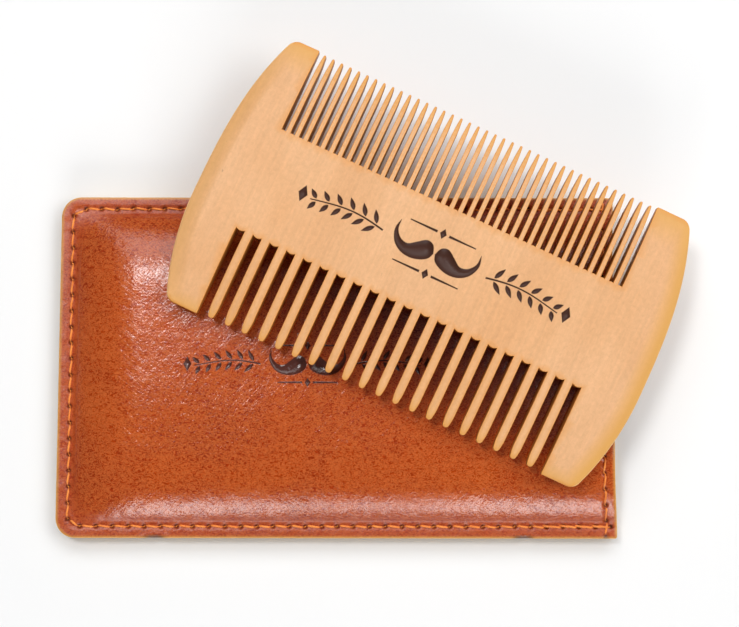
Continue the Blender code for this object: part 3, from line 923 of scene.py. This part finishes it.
def wood_material():
    """Close-grained pale fruit wood: burnt engraving, orange edge lines, painted shade on bevels, tips and
    slot walls, painted end highlights.
    """
    material, tree, shader = new_material("comb_wood")
    turn = -COMB_TURN
    clouds = noise_field(tree, (42.0, 26.0, 42.0), 3.0, turn=turn)
    base = ramp(tree, clouds, [
        (0.3, (0.735, 0.39, 0.178)), (0.5, (0.77, 0.432, 0.213)), (0.7, (0.79, 0.458, 0.239)),
    ])
    fibres = noise_field(tree, (1500.0, 70.0, 1500.0), 5.0, 0.6, turn=turn)
    base = varied(tree, base, fibres, [(0.35, grey(0.955)), (0.65, grey(1.03))])
    figure = noise_field(tree, (190.0, 14.0, 190.0), 3.0, 0.5, 0.4, turn)
    base = varied(tree, base, figure, [(0.35, (0.965, 0.94, 0.91)), (0.65, grey(1.02))])
    pores = noise_field(tree, (1150.0, 900.0, 1150.0), 5.0, 0.75, 0.5, turn=turn)
    base = varied(tree, base, pores, [(0.34, (0.93, 0.905, 0.88)), (0.66, (1.05, 1.05, 1.055))])
    speck_field = noise_field(tree, (900.0, 420.0, 900.0), 2.0, 0.4, turn=turn)
    specks = ramp(tree, speck_field, [(0.77, grey(0.0)), (0.81, grey(0.6))])
    base = mixed(tree, specks, base, (0.36, 0.19, 0.09))
    # Painted shade: a deeper orange on the end bevels and the tooth tips.
    base = mixed(tree, attribute(tree, "painted_slope_shade"), base, (0.72, 0.365, 0.088))
    rim = attribute(tree, "rim")
    arris = ramp(tree, rim, [(0.0, grey(0.0)), (0.6, grey(0.85))])
    base = mixed(tree, arris, base, (0.74, 0.29, 0.042))
    # Painted shade: the slot walls are darkened to brown.
    wall = ramp(tree, rim, [(0.7, grey(0.0)), (0.83, grey(1.0))])
    base = mixed(tree, wall, base, (0.46, 0.17, 0.027))
    # Painted highlight: a pale yellow line on the edges of the comb's two ends.
    end_highlight = ramp(tree, attribute(tree, "painted_end_highlight"), [(0.4, grey(0.0)), (0.72, grey(0.85))])
    base = mixed(tree, end_highlight, base, (0.93, 0.57, 0.22))
    base = mixed(tree, attribute(tree, "burn_and_shade"), base, (0.055, 0.018, 0.01))
    tree.links.new(base, shader.inputs["Base Color"])
    gloss = ramp(tree, clouds, [(0.3, grey(0.5)), (0.7, grey(0.42))])
    tree.links.new(gloss, shader.inputs["Roughness"])
    shader.inputs["IOR"].default_value = 1.45
    shader.inputs["Specular IOR Level"].default_value = 0.35
    bumped(tree, shader, [(fibres, 0.00003, 0.5), (speck_field, 0.00002, 0.3)])
    return material


def leather_material():
    """Glossy cognac leather: pebbled grain, mottled dye, a paler cut edge and painted glints along fine
    crease lines.
    """
    material, tree, shader = new_material("sleeve_leather")
    clouds = noise_field(tree, (46.0, 46.0, 46.0), 5.0, 0.6, 0.6)
    base = ramp(tree, clouds, [
        (0.3, (0.295, 0.023, 0.001)), (0.48, (0.36, 0.033, 0.001)), (0.68, (0.43, 0.05, 0.002)),
    ])
    warp = noise_field(tree, (500.0, 500.0, 500.0), 3.0, 0.6, 0.8)
    pebble = node(tree, "ShaderNodeTexVoronoi", feature="SMOOTH_F1", Scale=1.0, Smoothness=0.6)
    offset = node(tree, "ShaderNodeVectorMath", operation="MULTIPLY_ADD")
    tree.links.new(warp, offset.inputs[0])
    offset.inputs[1].default_value = (1.0, 1.0, 1.0)
    tree.links.new(stretched(tree, (1900.0, 2500.0, 2100.0)), offset.inputs[2])
    tree.links.new(offset.outputs[0], pebble.inputs["Vector"])
    grain = pebble.outputs["Distance"]
    creases = noise_field(tree, (1000.0, 1500.0, 1100.0), 3.0, 0.6, 1.3)
    lines = ramp(tree, off_middle(tree, creases), [(0.0, grey(1.0)), (0.11, grey(0.0))])
    fine = noise_field(tree, (3600.0, 3600.0, 3600.0), 2.0)
    base = varied(tree, base, grain, [(0.15, grey(1.07)), (0.62, grey(0.78))])
    # Painted highlight: pale glints drawn along the thin winding crease lines.
    pale = combine(tree, "MULTIPLY", lines, 0.6)
    base = mixed(tree, pale, base, (0.72, 0.18, 0.04))
    hem = attribute(tree, "hem")
    base = mixed(tree, combine(tree, "MULTIPLY", hem, 0.3), base, (0.3, 0.03, 0.006))
    base = mixed(tree, attribute(tree, "rim"), base, (0.82, 0.5, 0.12))
    # Darkened engraving and needle holes, with painted shade in the nicks.
    base = mixed(tree, attribute(tree, "burn_and_shade"), base, (0.085, 0.024, 0.017))
    tree.links.new(base, shader.inputs["Base Color"])
    gloss = ramp(tree, clouds, [(0.3, grey(0.2)), (0.7, grey(0.165))])
    unpolished = combine(tree, "MULTIPLY", hem, 0.2)
    tree.links.new(combine(tree, "ADD", gloss, unpolished), shader.inputs["Roughness"])
    shader.inputs["Specular IOR Level"].default_value = 0.5
    pits = noise_field(tree, (1500.0, 2100.0, 1700.0), 1.5, 0.5, 0.4)
    layers = [(pits, 0.000055, 0.85), (grain, 0.00001, 0.8), (fine, 0.000003, 0.5)]
    for turn in (0.7, -0.85):
        folds = noise_field(tree, (80.0, 900.0, 300.0), 2.0, 0.5, 0.3, turn)
        valleys = ramp(tree, off_middle(tree, folds), [(0.0, grey(0.0)), (0.06, grey(1.0))])
        layers.append((valleys, 0.00001, 0.8))
    bumped(tree, shader, layers)
    return material


def lining_material():
    """Brown twill."""
    material, tree, shader = new_material("sleeve_lining")
    weave = node(
        tree, "ShaderNodeTexWave", bands_direction="DIAGONAL", Scale=900.0, Distortion=1.5, Detail=2.0,
    )
    tree.links.new(stretched(tree, (1.0, 1.0, 0.2)), weave.inputs["Vector"])
    cross = noise_field(tree, (2600.0, 900.0, 900.0), 3.0)
    colour = ramp(tree, weave.outputs["Fac"], [(0.1, (0.10, 0.05, 0.028)), (0.9, (0.21, 0.115, 0.062))])
    colour = varied(tree, colour, cross, [(0.3, grey(0.85)), (0.7, grey(1.12))])
    tree.links.new(colour, shader.inputs["Base Color"])
    shader.inputs["Roughness"].default_value = 0.88
    shader.inputs["Sheen Weight"].default_value = 0.25
    bumped(tree, shader, [(weave.outputs["Fac"], 0.00006, 0.6), (cross, 0.00003, 0.4)])
    return material


def thread_material():
    """Waxed orange polyester thread."""
    material, tree, shader = new_material("sleeve_thread")
    tone = noise_field(tree, (420.0, 420.0, 420.0), 4.0)
    colour = ramp(tree, tone, [(0.3, (0.82, 0.2, 0.018)), (0.7, (0.98, 0.32, 0.045))])
    tree.links.new(colour, shader.inputs["Base Color"])
    fuzz = noise_field(tree, (5200.0, 5200.0, 5200.0), 3.0)
    shader.inputs["Roughness"].default_value = 0.5
    shader.inputs["Sheen Weight"].default_value = 0.2
    bumped(tree, shader, [(fuzz, 0.00003, 0.5)])
    return material


def floor_material():
    """A plain pale surface."""
    material, tree, shader = new_material("studio_floor")
    mottle = noise_field(tree, (8.0, 8.0, 8.0), 2.0)
    colour = ramp(tree, mottle, [(0.0, grey(0.87)), (1.0, grey(0.89))])
    tree.links.new(colour, shader.inputs["Base Color"])
    shader.inputs["Roughness"].default_value = 0.9
    shader.inputs["Specular IOR Level"].default_value = 0.0
    return material


# Pieces

def finish_piece(item, body, stands_for, material):
    """Give a piece its material, its body and the solid that it stands for."""
    item.data.materials.append(material)
    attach(item, body)
    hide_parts(stands_for)
    return item


def mark_wood(data):
    """Mark painted shade on the comb's end bevels and tooth tips, and tell the edges of its two ends from
    the others.
    """
    points = np.array([vertex.co[:] for vertex in data.vertices])
    x, y = points[:, 0], points[:, 1]
    from_end = COMB_LENGTH / 2 - end_narrowing(y) - np.abs(x)
    # Painted shade, heavier on the +X end's bevel than on the -X end's.
    strength = np.where(x > 0, 0.9, 0.42)
    ends = np.clip(1.35 - from_end / (END_BEVEL_WIDTH * 0.86), 0.0, 1.0) * strength
    fine_tips = np.clip((y - (COMB_WIDTH / 2 - 7.5 * MM)) / (6.0 * MM), 0.0, 1.0) * 0.8
    coarse_tips = np.clip((-y - (COMB_WIDTH / 2 - 3.4 * MM)) / (3.0 * MM), 0.0, 1.0) * 0.7
    painted_slope_shade = np.maximum.reduce([ends, fine_tips, coarse_tips])
    rim = 0.85 * read_mark(data, "rim")
    # The ends' edges take the painted highlight in place of the edge line.
    at_end = from_end < 0.6 * MM
    set_mark(data, "rim", rim * ~at_end)
    set_mark(data, "painted_end_highlight", rim * at_end)
    set_mark(data, "painted_slope_shade", painted_slope_shade)


def mark_leather(data):
    """Darken the leather's needle holes, paint shade into the dents of its nicks, and mark its hem, which
    is less polished.
    """
    heights = np.array([vertex.co.z for vertex in data.vertices])
    upper_face = heights > FRONT_PANEL_UNDER + LEATHER_THICKNESS / 2
    points = np.array([vertex.co[:2] for vertex in data.vertices])
    holes = np.vstack([SEAM_HOLES, MOUTH_HOLES])
    dark = np.clip(near_holes(points, holes, HOLE_RADIUS * 1.05) * 1.3, 0.0, 1.0)
    # Painted shade in the dent at the middle of each nick.
    for nick in NICKS:
        distance = from_nick(points, nick, 0.5) / MM
        dark = np.maximum(dark, 0.9 * upper_face * np.exp(-(distance / 0.85) ** 4))
    set_mark(data, "burn_and_shade", np.maximum(read_mark(data, "burn_and_shade"), dark))
    set_mark(data, "hem", np.clip(1 - 4 * dome(points[:, 0], points[:, 1]), 0.0, 1.0))


def make_comb(material):
    """The comb, engraved on its top, level with the middle of its CAD solid."""
    outline, rounding = comb_outline()
    points = comb_points(outline)
    shapes = [shape + np.array([0.0, 1.6 * MM]) for shape in ornament(64 * MM, 11.0 * MM)]
    item = plate(
        "beard_comb", outline, comb_half_height, lambda p: -comb_half_height(p), rounding, points, points,
        shapes, 0.3 * MM,
    )
    mark_wood(item.data)
    low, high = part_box("comb")
    place = Matrix.Translation((*COMB_PLACE, (low[2] + high[2]) / 2))
    item.data.transform(place @ Matrix.Rotation(COMB_TURN, 4, "Z"))
    finish_piece(item, "comb", "comb", material)


def make_front_panel(material):
    """The domed leather panel, with the ornament, the needle holes and the wear."""
    outline = sleeve_outline(nicked=True)
    holes = np.vstack([SEAM_HOLES, MOUTH_HOLES[1:-1]])
    points = without_near(sleeve_points(outline, 0.42 * MM, 0.55 * MM), holes, 0.86 * MM)
    rings = well_inside(outline, hole_points(holes), 0.4 * MM)
    points = np.vstack([points, rings])
    coarse = sleeve_points(outline, 1.3 * MM, 0.7 * MM)
    shapes = [shape + np.array([-6.2 * MM, 0.5 * MM]) for shape in ornament(54 * MM, 9.3 * MM)]
    rounding = np.full(len(outline), 0.28 * MM)
    item = plate(
        "front_leather", outline, front_top, front_under, rounding, points, coarse,
        shapes, 0.26 * MM, 0.1 * MM,
    )
    mark_leather(item.data)
    settle(item, 1.0)
    finish_piece(item, "case", "case_front_panel", material)


def make_back_panel(material):
    """The flat leather panel underneath."""
    outline = sleeve_outline()
    points = sleeve_points(outline, 0.8 * MM, 0.6 * MM)
    rounding = np.full(len(outline), 0.2 * MM)
    item = plate("back_leather", outline, back_top, back_under, rounding, points, points)
    settle(item, 0.0)
    finish_piece(item, "case", "case_back_panel", material)


def make_lining(name, stands_for, under, material, share_drawn):
    """A lining cloth on a lower face that under(points) gives."""
    outline = sleeve_outline(mouth_inset=SHEET_GAP)
    points = sleeve_points(outline, 1.0 * MM, 0.7 * MM)
    rounding = np.full(len(outline), 0.12 * MM)
    item = plate(name, outline, lambda p: under(p) + LINING_THICKNESS, under, rounding, points, points)
    settle(item, share_drawn)
    return finish_piece(item, "case", stands_for, material)


def front_lining_under(points):
    """Height of the front lining's lower face."""
    return FRONT_LINING_UNDER + front_rise(points[:, 0], points[:, 1])


def back_lining_under(points):
    """Height of the back lining's lower face."""
    return BACK_LINING_UNDER + back_rise(points[:, 0], points[:, 1])


def level_line(points):
    """The front's upper face under a thread, without the pits and grain."""
    return front_under(points) + LEATHER_THICKNESS - 0.2 * MM


def level_at(height):
    """A level height for stitched_path."""
    return lambda points: np.full(len(points), height)


def make_threads(material):
    """The needle and bobbin threads of the seam and of both hems at the mouth."""
    back_step = np.array([0.4 * STITCH, 0.12 * MM])
    first_tack = SEAM_HOLES[:BACK_TACKS + 1][::-1] + back_step * np.array([-1.0, 1.0])
    last_tack = SEAM_HOLES[-BACK_TACKS - 1:][::-1] - back_step
    tacked_seam = np.vstack([first_tack, SEAM_HOLES, last_tack])
    inner_holes = MOUTH_HOLES[2:-2]
    in_front = -THREAD_RADIUS
    in_back = LINING_THICKNESS + THREAD_RADIUS
    # Each thread's name and solid, then its holes, level, height above it, dip and share drawn in
    threads = (
        ("seam_thread", "seam_needle_thread",
         tacked_seam, level_line, THREAD_PROUD, -THREAD_DIP, 1.0),
        ("mouth_thread", "front_mouth_needle_thread",
         MOUTH_HOLES, level_line, THREAD_PROUD, -THREAD_DIP, 1.0),
        ("seam_bobbin", "seam_bobbin_thread",
         SEAM_HOLES, level_at(HEM_UNDERSIDE - THREAD_PROUD), 0.0, 0.4 * MM, 0.0),
        ("front_hem_bobbin", "front_mouth_bobbin_thread",
         inner_holes, lambda points: front_lining_under(points) + in_front, 0.0, 0.3 * MM, 1.0),
        ("back_hem_bobbin", "back_mouth_bobbin_thread",
         inner_holes, lambda points: back_lining_under(points) + in_back, 0.0, -0.3 * MM, 0.0),
        ("back_hem_thread", "back_mouth_needle_thread",
         MOUTH_HOLES[1:-1], level_at(0.32 * MM), 0.0, 0.4 * MM, 0.0),
    )
    for name, stands_for, holes, level, above, dip, share_drawn in threads:
        item = thread_tube(name, stitched_path(holes, level, above, dip))
        settle(item, share_drawn)
        finish_piece(item, "case", stands_for, material)


# Studio

def softbox(name, place, size, power):
    """A rectangular area light at a place, aimed at the object."""
    light = bpy.data.lights.new(name, "AREA")
    light.shape = "RECTANGLE"
    light.size, light.size_y = size
    light.energy = power
    item = bpy.data.objects.new(name, light)
    item.location = place
    item.rotation_euler = (Vector((0.0, 0.0, 0.01)) - Vector(place)).to_track_quat("-Z", "Y").to_euler()
    bpy.context.scene.collection.objects.link(item)


def make_studio():
    """The floor, the soft lights and the even white surroundings, which give little light themselves."""
    half = 1.5
    corners = [(-half, -half, 0), (half, -half, 0), (half, half, 0), (-half, half, 0)]
    floor = new_piece("floor", corners, [(0, 1, 2, 3)])
    floor.data.materials.append(floor_material())
    floor.location.z = -0.02 * MM

    world = bpy.data.worlds.new("studio")
    world.use_nodes = True
    background = world.node_tree.nodes["Background"]
    background.inputs["Color"].default_value = (1.0, 1.0, 1.0, 1.0)
    seen = node(world.node_tree, "ShaderNodeLightPath").outputs["Is Camera Ray"]
    strength = combine(world.node_tree, "MAXIMUM", combine(world.node_tree, "MULTIPLY", seen, 0.9), 0.12)
    world.node_tree.links.new(strength, background.inputs["Strength"])
    bpy.context.scene.world = world
    softbox("upper_left", (-0.34, 0.38, 1.22), (0.26, 0.3), 5.5)
    softbox("front_left", (-0.2, -1.2, 0.5), (0.28, 0.4), 3.4)
    softbox("front_right", (0.2, -1.2, 0.5), (0.3, 0.4), 3.6)
    softbox("back", (0.1, 0.9, 1.0), (1.5, 0.6), 9.4)
    softbox("right", (0.85, 0.1, 1.1), (0.8, 0.8), 6.8)


def make_camera():
    """The photograph's view, nearly straight down."""
    data = bpy.data.cameras.new("camera")
    data.sensor_width = 36.0
    data.lens = 77.56
    camera = bpy.data.objects.new("camera", data)
    camera.location = (7.27 * MM, -8.36 * MM, 357.4 * MM)
    camera.rotation_euler = (math.radians(3.283), 0.0, math.radians(0.087))
    bpy.context.scene.collection.objects.link(camera)
    bpy.context.scene.camera = camera


def main():
    make_camera()
    make_studio()
    bpy.context.scene.view_settings.view_transform = "Standard"
    make_comb(wood_material())
    leather = leather_material()
    make_front_panel(leather)
    make_back_panel(leather)
    lining = lining_material()
    front_lining = make_lining("front_lining_cloth", "front_lining", front_lining_under, lining, 1.0)
    back_lining = make_lining("back_lining_cloth", "back_lining", back_lining_under, lining, 0.0)
    make_threads(thread_material())


main()
